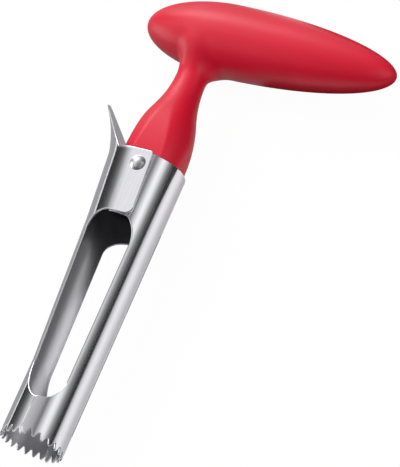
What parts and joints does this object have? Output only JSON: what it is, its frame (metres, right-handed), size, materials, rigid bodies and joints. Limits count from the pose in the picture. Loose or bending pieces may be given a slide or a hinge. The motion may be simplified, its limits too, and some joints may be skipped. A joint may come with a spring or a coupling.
{
  "type": "apple corer",
  "caption": "Apple corer: a split steel tube with a toothed mouth on an offset T handle, with a riveted lever half that swings open by a thumb tab to drop the core.",
  "frame": {"origin": "centre of the toothed mouth on the fixed tube half's axis, in the plane of the tooth tips", "axes": "+X toward the crossbar's long arm, +Y up the tube from the teeth to the handle, +Z along the hinge rivet, up when the tool lies flat"},
  "size_m": [0.0964, 0.1747, 0.0308],
  "materials": {
    "grip": "satin soft-touch moulding",
    "core": "moulded",
    "blade": "polished sheet",
    "rivet": "polished dome"
  },
  "bodies": {
    "body": {"handle_grip": "grip", "handle_core": "core", "fixed_blade": "blade", "hinge_rivet": "rivet"},
    "lever": {"lever_blade": "blade"}
  },
  "joints": [
    {"name": "lever_hinge", "type": "hinge", "parent": "body", "child": "lever", "pos_m": [0.0014, 0.1024, 0], "axis": [0, 0, -1], "range_deg": [0, 20]}
  ]
}
